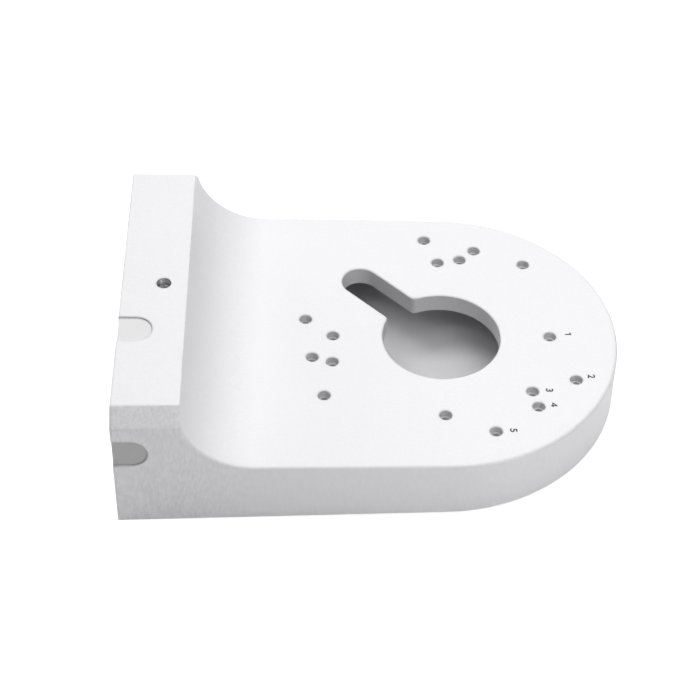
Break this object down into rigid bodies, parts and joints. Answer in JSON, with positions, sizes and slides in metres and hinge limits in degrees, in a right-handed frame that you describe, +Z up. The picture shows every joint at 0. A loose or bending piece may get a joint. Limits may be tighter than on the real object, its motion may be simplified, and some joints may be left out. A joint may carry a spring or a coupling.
{
  "type": "camera junction box",
  "caption": "L-shaped cast wall box that carries a dome or turret camera and hides its cable joint, with a keyhole opening, plugged cable entries and a folded wall plate.",
  "frame": {"origin": "centre of the bounding box at its lowest edge, the foot of the wall face", "axes": "+Z up out of the camera plate, +X from the wall to the round end, +Y along the wall; the wall face looks along -X"},
  "size_m": [0.1628, 0.12, 0.0477],
  "materials": {
    "white_paint": "fine textured white powder coat",
    "zinc_steel": "zinc plated sheet",
    "screw_steel": "plain stainless",
    "plug_rubber": "smooth light grey"
  },
  "bodies": {
    "root": {"housing": "white_paint", "wall_plate": "zinc_steel", "locking_screw": "screw_steel", "strip_entry_plug": "plug_rubber", "near_entry_plug": "plug_rubber", "far_entry_plug": "plug_rubber"}
  },
  "joints": []
}
